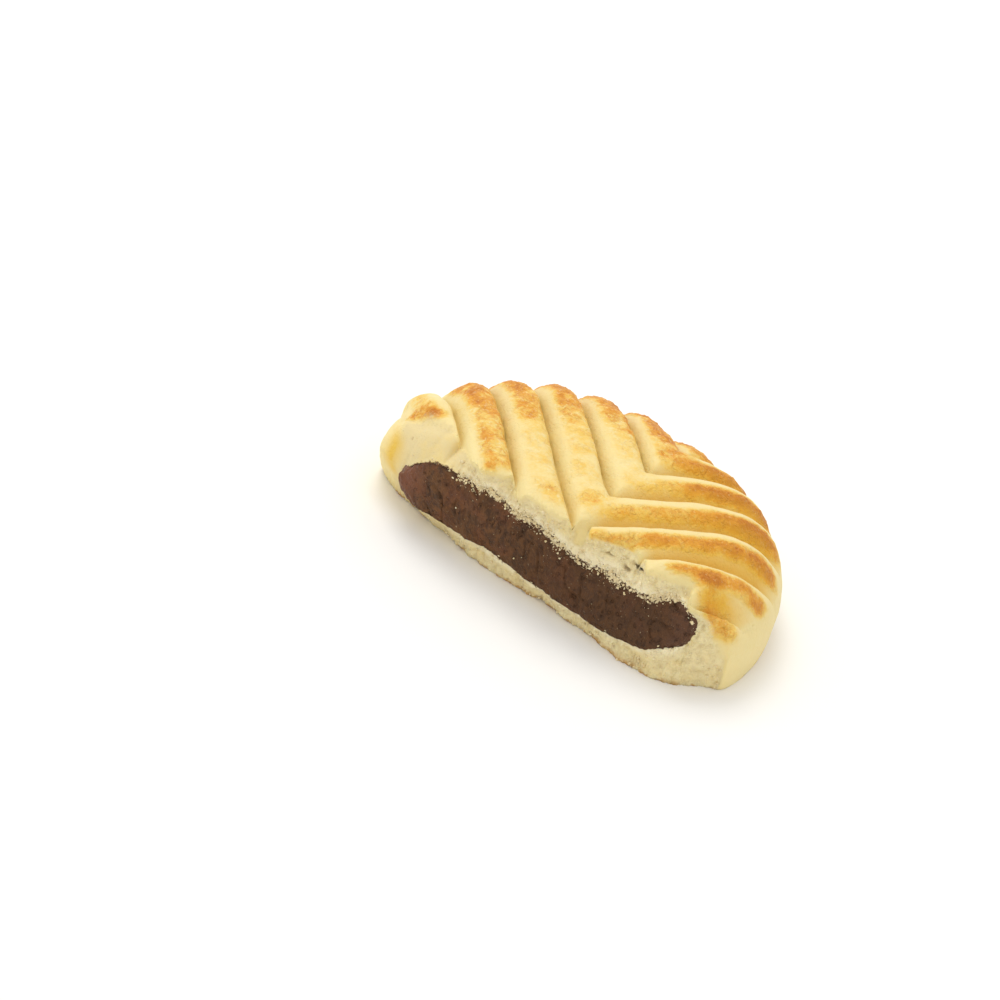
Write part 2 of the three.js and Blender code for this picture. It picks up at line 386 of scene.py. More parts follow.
# dough: one closed grid, each column a loop over the top, down the far wall, along the base and up the break
dough = dict(
    columns=560, ridgeSpan=(-5, 6), upperRows=22, lowerRows=13, pocketRows=16, baseRows=26,
    stepsInRidge=[  # where the rows of the top lie between one groove and the next
        0, 0.016, 0.036, 0.062, 0.1, 0.15, 0.21, 0.28, 0.35, 0.425, 0.5, 0.575, 0.65,
        0.72, 0.79, 0.85, 0.9, 0.938, 0.964, 0.984,
    ],
    corner=2, rightCorner=2.5,  # how softly the break turns into the wall
    brow=1.0, browWidth=1.1, lipCover=0.9, lipWidth=1.2,  # how the crust rolls down to the break
    upright=1.15, leftUpright=0.8,  # the dough stands up more over the filling's left end
    notchX=4.8, notchLean=0.17, notchHalf=0.75, notchWiden=0.16, notchLow=10.4,  # the spine's groove ends
    leftBare=0.66,  # over the left end the bare dough begins on the top, softly
    relief=[(0.28, 2.1, 41), (0.11, 0.55, 42), (0.08, 0.28, 43)],  # height, size and seed
    folds=0.11, foldSize=1.1, fissure=0.25, fissureSize=2.4, fissureWidth=0.07,
    knobbly=0.2, knobblySize=0.5, lipRise=0.1,  # small crumbs beside the filling and along the foot
    skinRelief=[(0.05, 1.2, 46), (0.12, 3.2, 58)],
    spots=[  # darker baked places: middle, half widths, strength
        (-22.4, -3.3, 13.1, 1.8, 1.2, 1.6, 0.7), (-24.9, -2.4, 11.1, 2.1, 1.3, 2, 0.5),
        (26.4, -8.7, 9.7, 3.4, 2.8, 2.3, 0.42), (8, -11.8, 14.5, 2.2, 1, 1.6, 0.45),
        (23, -7.8, 11.7, 2.4, 1.9, 2, 0.5), (-0.9, -9.4, 15.2, 1.7, 1.5, 2, 0.25),
        (3.2, -6.6, 15.2, 1.5, 1.9, 2, 0.2), (-9.7, -10.2, 14.8, 1.2, 0.9, 2, 0.25),
        (15.9, -12, 13.4, 1.7, 1.7, 3, -0.8),  # the tip of the second ridge from the right stays pale
    ],
    bulges=[  # where the end of the first ridge stands out, and the dip below it
        (-28.3, 2.9, 8.9, 2, 2.4, 2.2, 1), (-28.4, 0.2, 5.8, 1.5, 1.6, 1.8, -0.7),
    ],
    cracks=[  # x, height, half length, half width, depth
        (9.4, 12.1, 0.8, 0.14, 0.7), (12.2, 11.3, 0.45, 0.22, 0.9), (13.8, 12.3, 1, 0.13, 0.9),
        (23.9, 8.9, 0.16, 0.5, 0.25), (23.8, 7.4, 0.13, 0.6, 0.25), (24.4, 5.8, 0.2, 0.5, 0.25),
        (22.7, 3.6, 0.3, 0.16, 0.25),
    ],
    butterX=-24.6, butterWidth=1.7,  # a deep yellow strip beside the filling's left end
)


def brokenColumns():
    # for each column its x, the far wall, the torn edge of the crust and how much the wall closes the front
    d, shoulder = dough, cookie["shoulder"]
    widest, up, low = columnX(d["columns"])
    x = shoulder * widest
    edge = curve(x, tear["topEdge"]) + layers(onLine(x), tear["topJags"])
    corner = d["corner"] + d["rightCorner"] * smooth(x, 21, 25) * smooth(x, 27.2, 25.4)
    corner = np.minimum(corner, 0.4 * shoulder * (up - low))  # none where the outline closes
    front = np.minimum(smoothMax(edge, shoulder * low, corner), shoulder * up)
    wall = smooth(edge - shoulder * low, 1.4, -0.6)[:, None]
    return SimpleNamespace(widest=widest, up=up, low=low, x=x, edge=edge, corner=corner, front=front,
                           wall=wall)


def fromTornEdge(x0, y, front):  # distance to the nearest place on the torn edge, near columns only
    best = y - front[:, None]
    for step in range(-14, 15):
        k = np.clip(np.arange(len(x0)) + step, 0, len(x0) - 1)
        best = np.minimum(best, np.hypot((x0[k] - x0)[:, None], np.maximum(y - front[k][:, None], 0)))
    return best


def topRows(col):
    # rows laid along the arms, held between the break and the far wall, and rolled down at the break
    d = dough
    ridge = np.arange(*d["ridgeSpan"])[:, None]
    across = (ridge + np.array(d["stepsInRidge"])[None, :]).ravel() * ridges["pitch"]
    x = np.repeat(col.x[:, None], len(across), 1)
    far = cookie["shoulder"] * col.up
    y = np.clip(ridgeLineY(x, across[None, :]), col.front[:, None], far[:, None])
    fromEdge = fromTornEdge(col.x, y, col.front)
    off = smooth(offCrest(acrossRidges(x, y)), 0.45, 0.9)
    z = topHeight(x, y) - d["brow"] * np.exp(-fromEdge / d["browWidth"]) * (1 - col.wall) * (1 - off)
    lipTop = curve(col.x, tear["fillingTop"])[:, None] + d["lipCover"]
    z = z + np.maximum(lipTop - z, 0) * np.exp(-fromEdge / d["lipWidth"]) * (1 - col.wall)
    return np.stack([x, y, z], -1), fromEdge


def farWallRows(col):
    # the far wall, down past the widest line to the base, as shares of the outline
    share = 1 - (1 - cookie["shoulder"]) * (1 - wallShares()) ** 2
    x, y = col.widest[:, None] * share, col.up[:, None] * share
    upper = np.stack([x, y, topHeight(x, y)], -1)
    turn = lowTurns()[1:]
    share = lowWallShare(turn)
    z = np.repeat(cookie["equator"] * (1 - np.cos(turn))[None], len(col.x), 0)
    return upper, np.stack([col.widest[:, None] * share, col.up[:, None] * share, z], -1)


def wallShares():  # even steps from the shoulder to the widest line
    return np.arange(1, dough["upperRows"] + 1) / dough["upperRows"]


def lowTurns():  # a quarter turn from the widest line to the base
    return np.linspace(np.pi / 2, 0, dough["lowerRows"] + 1)


def baseRows(col):
    # straight from the far wall to the torn foot, which is rounded into the near wall at the ends
    share = cookie["baseShare"]
    x = share * col.widest
    foot = curve(x, tear["baseEdge"]) + layers(onLine(x), tear["footJags"])
    far = share * col.up
    near = np.minimum(smoothMax(foot, share * col.low, col.corner), far)
    k = np.arange(1, dough["baseRows"]) / dough["baseRows"]
    y = far[:, None] + (near - far)[:, None] * k
    return np.stack([np.repeat(x[:, None], len(k), 1), y, y * 0], -1), foot


def faceRows(col, tornY, tornZ, wallZ):
    # the torn face in the middle; toward the cookie's two ends it follows the side wall
    c, wall = cookie, col.wall
    z = tornZ * (1 - wall) + wallZ * wall
    inner = c["shoulder"] + (c["baseShare"] - c["shoulder"]) * np.clip(1 - z / 2.5, 0, 1)
    endness = smooth(np.abs(col.x), 23.8, 26.8)[:, None]
    share = inner * (1 - endness) + shareAt(z) * endness
    x = share * col.widest[:, None]
    y = np.minimum(smoothMax(tornY, share * col.low[:, None], col.corner[:, None]), share * col.up[:, None])
    z = np.where(z > c["equator"], z * (1 - wall) + topHeight(x, y) * wall, z)
    return np.stack([x, y, z], -1)


def rightSkin(x, z):  # the right end of the break is closed by smooth skin
    return smooth(x + 0.35 * (z - 6), 24.2, 27.2)


def doughGrid():
    # the parts of a column's loop in their order, with a mask for each finish
    d = dough
    col = brokenColumns()
    top, fromEdge = topRows(col)
    shoulder, side = farWallRows(col)
    base, foot = baseRows(col)
    (upY, upZ), (downY, downZ) = lipOf(col.x, 0)
    down = wallShares()[None, :]
    upright = d["upright"] - d["leftUpright"] * smooth(-col.x, 14, 20)[:, None]
    tornY = col.edge[:, None] + (upY - col.edge)[:, None] * down ** upright
    tornZ = top[:, :1, 2] + (upZ - top[:, 0, 2])[:, None] * down
    wallZ = crown(1 - (1 - cookie["shoulder"]) * (1 - down) ** 2)
    highFace = faceRows(col, tornY, tornZ, wallZ)
    down = (np.arange(0, d["lowerRows"] + 1) / d["lowerRows"])[None, :]
    tornY = downY[:, None] + (foot - downY)[:, None] * down
    wallZ = cookie["equator"] * (1 - np.cos(lowTurns()))[None, :]
    lowFace = faceRows(col, tornY, downZ[:, None] * (1 - down), wallZ)

    # the hollow behind the face, which the filling fills, is shut where there is no filling
    shown = upZ - downZ > 0.03
    joint = np.where(shown, (upZ + downZ) / 2, highFace[:, -1, 2])[:, None]
    k = quarterSteps(d["pocketRows"])
    meet, rear, open = highFace[:, -1:], rearArc(col.x, 0), shown[:, None, None]
    roof = np.where(open, bodyRows(highFace[:, -1], joint, rear, k, 1), meet)
    floor = np.where(open, bodyRows(lowFace[:, 0], joint, rear, k[:, :-1], -1), meet)
    parts = dict(top=top, shoulder=shoulder, side=side, base=base, lowFace=lowFace[:, ::-1], floor=floor,
                 roof=roof[:, ::-1], highFace=highFace[:, ::-1])
    points = np.concatenate(list(parts.values()), 1)
    counts = [part.shape[1] for part in parts.values()]
    span = {name: slice(end - count, end) for name, count, end in zip(parts, counts, np.cumsum(counts))}
    fromCrust = np.linalg.norm(highFace - top[:, :1], axis=2)[:, ::-1]  # way down the torn face
    return points, doughMasks(col, points, span, fromEdge, fromCrust, smooth(upZ - downZ, 0, 1)[:, None])


def doughMasks(col, points, span, fromEdge, fromCrust, parted):
    # each mask runs from 0 to 1; parted is 0 where the hollow is shut
    d = dough
    names = ("crumb", "inside", "stain", "under", "onTop", "pale", "foot")
    mask = SimpleNamespace(**{name: np.zeros(points.shape[:2]) for name in names})
    top, lowFace, highFace = span["top"], span["lowFace"], span["highFace"]
    broken, hollow = slice(lowFace.start, None), slice(span["floor"].start, span["roof"].stop)
    x, z, torn = col.x[:, None], points[:, :, 2], 1 - col.wall
    rise = z - d["notchLow"]
    fromNotch = (x - d["notchX"] - d["notchLean"] * rise) / (d["notchHalf"] + d["notchWiden"] * rise)
    notch = bell(fromNotch, 1) * smooth(rise, -0.2, 0.8)
    bare = torn * smooth(x + 0.12 * (z - 6), -26.6, -22.8) * (1 - notch) * (1 - rightSkin(x, z))
    leftEnd = d["leftBare"] * smooth(-x, 15, 19) * smooth(-x, 25.5, 22.5)
    overNotch = bell(x - d["notchX"] - 0.5, 1.1)
    rim = 0.1 * bell(fromEdge, 0.35) * torn * (1 - overNotch) * (1 - rightSkin(x, z[:, top]))
    mask.crumb[:, broken] = bare[:, broken]
    mask.crumb[:, top] = np.maximum(rim, leftEnd * smooth(fromEdge, 2.4, 0))
    mask.crumb[:, highFace] *= np.maximum(smooth(fromCrust, -0.3, 1.3), leftEnd)
    middleRidge = smooth(x, 3.5, 6) * smooth(x, 14, 12)  # only here browning reaches the break
    mask.pale[:, broken] = 1
    mask.pale[:, top] = bell(fromEdge, 1.2 - 0.85 * middleRidge) * torn * (1 - 0.6 * middleRidge)
    mask.pale[:, highFace] = 1 - middleRidge * smooth(fromCrust, 1.3, -0.5)
    mask.foot[:, lowFace] = bell(z[:, lowFace], 0.45)
    mask.inside[:, hollow] = 1
    mask.stain[:, hollow] = 1
    mask.stain[:, lowFace] = np.linspace(0, 1, lowFace.stop - lowFace.start) ** 6 * parted
    mask.stain[:, highFace] = np.linspace(1, 0, highFace.stop - highFace.start) ** 3 * parted
    mask.under[:, span["base"]] = 1
    mask.onTop[:, top] = smooth(fromEdge, 0.2, 2.2)
    return vars(mask)


# browning in shares of the way over a ridge, x, y and height in millimetres
baking = dict(
    widen=0.12, widenZone=(0.7, 0.92),  # the bands widen toward the rim
    leftPlain=0.2, leftGain=0.62, leftZone=(0.25, 0.78), rimPaler=0.35, rimZone=(0.86, 0.97),
    firstRidge=(12, 12.6), firstPaler=0.5, spinePaler=0.3, breakPaler=0.18,
    rightPlain=0.36, rightGain=0.5, rightX=(8, 20), farGain=0.6, farY=(3, 12),
    patches=[(0.55, 2.9, 31), (0.3, 1.2, 32)], wallZone=(7.5, 10.5), wallWave=0.8,
    tray=0.3, trayHeight=1.1, faint=0.07,
)


def bakeAmount(points):
    # browning keeps to a band of each ridge, the crest on the left and the face below it on the right;
    # it grows toward the rim, comes and goes in patches, and leaves the side wall pale
    b = baking
    x, y, z = points.T
    q = reach(x, y)
    right = smooth(x - ridges["spineX"], -0.5, 3.5)
    across = acrossRidges(x, y)
    share = shareOver(across)
    wide = b["widen"] * smooth(q, *b["widenZone"])
    first = smooth(-across, *b["firstRidge"])  # on the first ridge it keeps to the near side
    leftEnd = smooth(share, 0.99 - 0.35 * first, 0.9 - 0.5 * first)
    leftBand = smooth(share, 0.12 - wide, 0.4 - 1.5 * wide) * leftEnd
    raised = share - 0.14 * smooth(-across, 6, 8) + 0.07 * smooth(across, -1, 1)
    rightBand = smooth(raised, 0.1, 0.28) * smooth(raised, 0.64, 0.42)
    patch = 0.5 + layers(points, b["patches"])
    left = b["leftPlain"] + b["leftGain"] * smooth(q, *b["leftZone"])
    left = left * (1 - b["rimPaler"] * smooth(q, *b["rimZone"])) * (1 - b["firstPaler"] * first)
    left = left * (1 - b["spinePaler"] * smooth(x, -5, 2) * smooth(y, 14, 6))
    left = left * (1 - b["breakPaler"] * smooth(y, 4, -2))  # a little paler toward the break
    rightSide = b["rightPlain"] + b["rightGain"] * smooth(x, *b["rightX"])
    rightSide = rightSide + b["farGain"] * smooth(y, *b["farY"])
    band = leftBand * left * (1 - right) + rightBand * rightSide * right
    keep = smooth(z + b["wallWave"] * lumps(points, 2, 34), *b["wallZone"])
    tray = b["tray"] * bell(z, b["trayHeight"]) * patch  # a little colour where it stood on the tray
    return np.clip(band * (0.6 + 0.6 * patch) * keep + b["faint"] * patch + tray, 0, 1)


def browned(points, spot):  # one darker spot, soft at its border and broken by small lumps
    fromIt = (points - spot[:3]) / spot[3:6]
    return spot[6] * np.exp(-(fromIt ** 2).sum(-1) ** 1.5) * (1 + 0.4 * lumps(points, 1.1, 33))


def tornRelief(points, stain):
    # lumps, folds and grit, less thin fissures, plus round crumbs beside the filling and along the foot
    d = dough
    folded = 1 - 2 * np.abs(lumps(points, d["foldSize"], 59))
    height = layers(points, d["relief"]) + d["folds"] * folded
    split = bell(lumps(points, d["fissureSize"], 47), d["fissureWidth"]) * somePlaces(points, 3.5, 48)
    ragged = np.maximum(smooth(stain, 0.1, 0.6), smooth(points[:, 2], 3.5, 1.5))
    grit = (crumbs(points, d["knobblySize"], 50) - 0.3) * ragged
    return height - d["fissure"] * split + d["knobbly"] * grit


def crackDepths(points):
    # each crack is a flat bell about its middle, bent by lumps; yields its depth and its shape
    bend = 0.25 * lumps(points, 1.0, 44)
    for x, z, longWay, highWay, depth in dough["cracks"]:
        gap = ((points[:, 0] - x) / longWay) ** 2 + ((points[:, 2] - z + bend) / highWay) ** 2
        yield depth, np.exp(-gap) * (points[:, 1] < -8)


def buildDough(material):
    # the grid moved along its normals by the relief of the torn side, the cracks, the skin and the bulges
    d, r = dough, ridges
    points, tris, values, normal = closed(*doughGrid())
    x, y, z = points.T
    q = reach(x, y)
    crumb, solid, notUnder = values["crumb"], 1 - values["inside"], 1 - values["under"]
    calm = smooth(-x, 11, 15)  # the torn side is smooth at the left end
    rough = crumb * solid * (1 - 0.85 * calm)
    nearLip = smooth(values["stain"], 0.5, 1)
    move = rough * tornRelief(points, values["stain"]) * (1 - 0.5 * nearLip)
    move += d["lipRise"] * crumb * solid * nearLip
    # painted shade in the cracks: how strongly each crack darkens the colour
    cavity = np.zeros(len(points))
    for depth, hollow in crackDepths(points):
        move -= depth * hollow * solid
        cavity = np.maximum(cavity, hollow * solid * min(depth, 1))
    bake = bakeAmount(points) * notUnder * (1 - values["pale"])
    bake = np.clip(bake + sum(browned(points, np.array(spot)) for spot in d["spots"]), 0, 1)
    skin = (1 - crumb) * notUnder
    blister = r["blister"] * (crumbs(points, r["blisterSize"], 45) - 0.4) * smooth(bake, 0.08, 0.45)
    blister += r["pimple"] * lumps(points, r["pimpleSize"], 49) * smooth(bake, 0.02, 0.3)
    move += skin * (blister + layers(points, d["skinRelief"])) * (1 - 0.7 * smooth(q, 0.98, 1))
    for bulge in np.array(d["bulges"]):
        move += bulge[6] * np.exp(-(((points - bulge[:3]) / bulge[3:6]) ** 2).sum(1)) * solid
    points = points + normal * move[:, None]
    points[:, 2] = np.maximum(points[:, 2], 0)
    x, y, z = points.T
    across = acrossRidges(x, y)
    top = values["onTop"] * (1 - crumb) * smooth(q, 1, 0.85)
    even = smooth(x - r["spineX"], -1, 4)  # the right arms take colour more evenly
    # the right arms' flanks that face away from the lamp: golden bake together with painted shade
    flank = smooth(shareOver(across), 0.45, 0.05) * even * (0.75 + 0.25 * smooth(x, 14, 20))
    beside = bell(x - d["butterX"] + 0.4 * lumps(points, 2, 56), d["butterWidth"])
    yellow = beside * smooth(z, 2.5, 5) * smooth(z, 10, 8) * values["pale"]
    values.pop("onTop")
    # groove marks where painted shade darkens the colour along each groove
    values.update(bake=bake, groove=smooth(offCrest(across), 0.88, 1) * top, flank=flank * top, butter=yellow,
                  calm=calm, cavity=cavity, even=even)
    return makePiece("cookieDough", points, tris, values, material), points, normal, values


# filling: each column a loop down the broken face, back along the underside and forward over the top
filling = dict(
    columns=420, faceRows=46, deepRows=20, lump=0.3, lumpSize=2.8,
    fibre=0.11, fibreSize=0.9, fibreStretch=0.85, fibreLean=0.25, cleft=0.3, cleftSize=2.2, cleftWidth=0.08,
    fine=0.07, fineSize=0.35,
    endReach=22,  # the face is widened, so that it grows by the lip at this distance from the middle
    dustDepth=0.45, dustZone=(-16, -11), dustEnd=(20, 17),  # flour below the upper edge, not at the two ends
)


def buildFilling(material):
    # the face bows out between its two edges and is moved by lumps and leaning fibres, less thin clefts
    f, t = filling, tear
    extra = t["lip"]
    left, right = t["fillingTop"][0][0], t["fillingTop"][-1][0]
    turn = np.linspace(0, np.pi, f["columns"] + 1)
    x = (left + right) / 2 - (right - left) / 2 * np.cos(turn)
    (upY, upZ), (downY, downZ) = lipOf(x, extra)
    thick = (upZ - downZ)[:, None]
    a = (0.5 - 0.5 * np.cos(np.pi * np.arange(0, f["faceRows"] + 1) / f["faceRows"]))[None, :]
    bow = t["bulge"] * smooth(thick, 0, 1.2) * (1 - (2 * a - 1) ** 4)
    faceX = np.repeat(x[:, None], a.shape[1], 1) * (1 + extra / f["endReach"])
    faceY = upY[:, None] + (downY - upY)[:, None] * a - bow
    face = np.stack([faceX, faceY, upZ[:, None] - thick * a], -1)
    joint, rear = ((upZ + downZ) / 2)[:, None], rearArc(x, extra)
    k = quarterSteps(f["deepRows"])
    below = bodyRows(face[:, -1], joint, rear, k, -1)
    above = bodyRows(face[:, 0], joint, rear, k[:, :-1], 1)
    points = np.concatenate([face, below, above[:, ::-1]], 1)
    onFace = np.zeros(points.shape[:2])
    onFace[:, :a.shape[1]] = 1
    fall = np.full(points.shape[:2], 9.0)  # how far below its upper edge a point of the face lies
    fall[:, :a.shape[1]] = thick * a
    points, tris, values, normal = closed(points, dict(face=onFace, fall=fall))
    leaning = points * (1, 1, f["fibreStretch"]) + points[:, 2:] * (f["fibreLean"], 0, 0)
    fibres = 1 - 2 * np.abs(lumps(leaning, f["fibreSize"], 52))
    clefts = bell(lumps(leaning, f["cleftSize"], 54), f["cleftWidth"]) * somePlaces(points, 4, 55)
    move = f["lump"] * lumps(points, f["lumpSize"], 51) + f["fibre"] * fibres - f["cleft"] * clefts
    move += f["fine"] * lumps(points, f["fineSize"], 53)
    points = points + normal * (move * values["face"])[:, None]
    x = points[:, 0]
    dusty = smooth(x, *f["dustZone"]) * smooth(x, *f["dustEnd"]) * values["face"]
    cluster = 0.35 + smooth(lumps(points, 1.7, 66), -0.3, 0.5)
    values["dust"] = dusty * np.exp(-values["fall"] / f["dustDepth"]) * cluster
    values["shade"] = smooth(x, -14, 14)  # the paste is a little darker toward the right
    values["ends"] = np.maximum(smooth(x - left, 5, 1), smooth(x - right, -4, -1) * 0.6)
    return makePiece("dateFilling", points, tris, values, material), points, normal, values


# loose crumbs: one lumpy grain, repeated at many sizes along the break
looseCrumbs = dict(
    pale=1700, paleSize=(0.03, 0.2), strewn=1100, strewnSize=(0.03, 0.17), dark=160, darkSize=(0.03, 0.1),
    clusterSize=1.7, strewnDepth=0.28,
    floorGap=2.2,  # no grain's middle lies lower than this many of its sizes
)


def grainShape():
    # an octahedron with each face cut in four, pushed out to a ball
    corners = np.array([(1, 0, 0), (-1, 0, 0), (0, 1, 0), (0, -1, 0), (0, 0, 1), (0, 0, -1)], float)
    faces = [(0, 2, 4), (2, 1, 4), (1, 3, 4), (3, 0, 4), (2, 0, 5), (1, 2, 5), (3, 1, 5), (0, 3, 5)]
    points, tris = list(corners), []
    for a, b, c in faces:
        ab, bc, ca = len(points), len(points) + 1, len(points) + 2
        points += [corners[a] + corners[b], corners[b] + corners[c], corners[c] + corners[a]]
        tris += [(a, ab, ca), (ab, b, bc), (ca, bc, c), (ab, bc, ca)]
    points = np.array(points)
    points /= np.linalg.norm(points, axis=1, keepdims=True)
    key = np.round(points, 5)
    _, first, index = np.unique(key, axis=0, return_index=True, return_inverse=True)
    return points[first], index.ravel()[np.array(tris)]


def scatter(name, places, sizes, seed, material):
    # every grain is the same ball squeezed, turned and dented by its own random numbers
    rng = np.random.default_rng(seed)
    ball, tris = grainShape()
    count = len(places)
    squeeze = rng.uniform(0.4, 1.6, (count, 1, 3))
    dents = 1 + rng.uniform(-0.4, 0.4, (count, len(ball), 1))
    axes = np.linalg.qr(rng.normal(size=(count, 3, 3)))[0]
    grains = np.einsum("nij,nkj->nki", axes, ball[None] * dents * squeeze) * sizes[:, None, None]
    points = (grains + places[:, None, :]).reshape(-1, 3)
    faces = (tris[None] + (np.arange(count) * len(ball))[:, None, None]).reshape(-1, 3)
    tone = np.repeat(rng.uniform(0, 1, count), len(ball))
    piece = makePiece(name, points, faces, dict(tone=tone), material, shade=False)
    return piece


def crumbPlaces(points, normal, chance, count, sizes, seed, spread):
    # draws surface points by their chance and sets each grain a little way out along the normal
    rng = np.random.default_rng(seed)
    pick = rng.choice(len(points), count, replace=False, p=chance / chance.sum())
    size = sizes[0] + (sizes[1] - sizes[0]) * rng.uniform(0, 1, count) ** 4
    place = points[pick] + normal[pick] * (size * rng.uniform(0.2, 0.8, count))[:, None]
    place = place + rng.uniform(-spread, spread, (count, 3))
    place[:, 2] = np.maximum(place[:, 2], size * looseCrumbs["floorGap"])
    return place, size


def buildCrumbs(points, normal, values, faceAt, faceNormal, faceValues, pale, dark):
    # pale grains cling to the torn dough and are strewn over the upper edge of the filling, in clusters
    c = looseCrumbs
    torn = values["crumb"] * (1 - values["inside"]) > 0.5
    right = smooth(points[:, 0], -16, -12)
    nearLip = smooth(values["stain"], 0.15, 0.8) * smooth(points[:, 2], 6, 9)
    cluster = smooth(lumps(points, c["clusterSize"], 66), -0.2, 0.5)
    chance = torn * (0.08 + nearLip) * (0.1 + cluster) * (0.05 + right)
    place, size = crumbPlaces(points, normal, chance, c["pale"], c["paleSize"], 61, 0.12)
    face, x = faceValues["face"], faceAt[:, 0]
    cluster = smooth(lumps(faceAt, c["clusterSize"], 66), -0.3, 0.5)
    chance = face * np.exp(-faceValues["fall"] / c["strewnDepth"]) * (0.1 + cluster) + face * 0.0004
    chance = chance * smooth(x, -16, -11) * smooth(x, 19.5, 16)
    more, moreSize = crumbPlaces(faceAt, faceNormal, chance, c["strewn"], c["strewnSize"], 67, 0.1)
    scatter("paleCrumbs", np.concatenate([place, more]), np.concatenate([size, moreSize]), 62, pale)
    chance = torn * nearLip ** 2 * right
    place, size = crumbPlaces(points, normal, chance, c["dark"], c["darkSize"], 63, 0.15)
    scatter("dateCrumbs", place, size, 64, dark)


# finishes

def paint(red, green, blue):  # a screen colour, 0 to 255, as the shader's own light values
    v = np.array([red, green, blue]) / 255
    linear = np.where(v <= 0.04045, v / 12.92, ((v + 0.055) / 1.055) ** 2.4)
    return (*[float(c) for c in linear], 1)


def newGroup(name, inputs, label):
    # an empty node group, its input sockets in order, and a function that gives it its result
    group = bpy.data.node_groups.new(name, "ShaderNodeTree")
    for given, kind, value in inputs:
        socket = group.interface.new_socket(name=given, in_out="INPUT", socket_type="NodeSocket" + kind)
        socket.default_value = value
    kind = "NodeSocketColor" if label == "Colour" else "NodeSocketFloat"
    group.interface.new_socket(name=label, in_out="OUTPUT", socket_type=kind)
    sockets = group.nodes.new("NodeGroupInput").outputs[:len(inputs)]
    result = group.nodes.new("NodeGroupOutput").inputs[0]
    return group, sockets, lambda value: group.links.new(value, result)


def isSocket(value):  # true if the value comes from another node
    return isinstance(value, bpy.types.NodeSocket)


def setIn(node, socket, value):  # joins an output to a socket, or sets the socket's own number
    if isSocket(value):
        node.id_data.links.new(value, node.inputs[socket])
    elif value is not None:
        node.inputs[socket].default_value = value


def addNode(kind, *values):  # a node of this kind in the tree of the first value that is a socket
    return next(value for value in values if isSocket(value)).id_data.nodes.new("ShaderNode" + kind)


def calc(operation, a, b=None, c=None):  # one step of arithmetic
    node = addNode("Math", a, b)
    node.operation = operation
    for k, value in enumerate((a, b, c)):
        setIn(node, k, value)
    return node.outputs[0]


def times(product, *factors):  # the factors multiplied, one after another
    for value in factors:
        product = calc("MULTIPLY", product, value)
    return product


def plus(a, b):  # a and b added
    return calc("ADD", a, b)


def minus(a, b):  # b taken from a
    return calc("SUBTRACT", a, b)


def blend(amount, a, b):  # a where the amount is 0, b where it is 1
    node = addNode("Mix", amount)
    node.data_type, node.clamp_factor = "RGBA", True
    for socket, value in ((0, amount), (6, a), (7, b)):
        setIn(node, socket, value)
    return node.outputs[2]


def layered(colour, coats):  # further colours laid over the first, each by its own amount
    for amount, over in coats:
        colour = blend(amount, colour, over)
    return colour


def between(value, low, high, toLow=0, toHigh=1):  # an s-curve from toLow at low to toHigh at high
    node = addNode("MapRange", value)
    node.interpolation_type = "SMOOTHSTEP"
    for socket, v in enumerate((value, low, high, toLow, toHigh)):
        setIn(node, socket, v)
    return node.outputs[0]


def scaleFor(size):  # a thousand over the size in millimetres, because places are in metres
    return calc("DIVIDE", 1000, size) if isSocket(size) else 1000 / size


def noiseAt(place, size, detail=3, rough=0.55, twist=0):  # soft noise of one size
    node = addNode("TexNoise", place)
    given = dict(Vector=place, Scale=scaleFor(size), Detail=detail, Roughness=rough, Distortion=twist)
    for label, value in given.items():
        setIn(node, label, value)
    return node.outputs["Fac"]


def cellsAt(place, size):  # distance to the nearest middle of random cells, as a share of their size
    node = addNode("TexVoronoi", place)
    setIn(node, "Vector", place)
    setIn(node, "Scale", scaleFor(size))
    return node.outputs["Distance"]


# uneven patches of one size, as a mask from low to high
patches, (place, size, low, high), setResult = newGroup(
    "patches",
    [("Place", "Vector", (0, 0, 0)), ("Size", "Float", 2), ("Low", "Float", 0.4), ("High", "Float", 0.6)],
    "Mask",
)
setResult(between(noiseAt(place, size, 4, 0.6, 0.3), low, high))

# pale to brown through two steps, as dough takes colour in the oven
white = (1, 1, 1, 1)
bakedColour, (bake, pale, golden, amber, brown), setResult = newGroup(
    "bakedColour",
    [("Bake", "Float", 0), ("Pale", "Color", white), ("Golden", "Color", white), ("Amber", "Color", white),
     ("Brown", "Color", white)],
    "Colour",
)
setResult(layered(pale, [
    (between(bake, 0, 0.34), golden),
    (between(bake, 0.28, 0.66), amber),
    (between(bake, 0.6, 1), brown),
]))

# fine relief: soft lumps and small grains, less pin holes
grainRelief, (place, lumpSize, grainSize, lumpy, grainy, holes), setResult = newGroup(
    "grainRelief",
    [("Place", "Vector", (0, 0, 0)), ("Lump size", "Float", 1), ("Grain size", "Float", 0.3),
     ("Lumps", "Float", 0.5), ("Grains", "Float", 0.5), ("Holes", "Float", 0)],
    "Height",
)
soft = times(noiseAt(place, lumpSize, 3, 0.6), lumpy)
hard = times(minus(1, cellsAt(place, grainSize)), grainy)
pore = between(noiseAt(place, lumpSize, 2, 0.5), 0.3, 0.42, 1, 0)
setResult(minus(plus(soft, hard), times(pore, holes)))

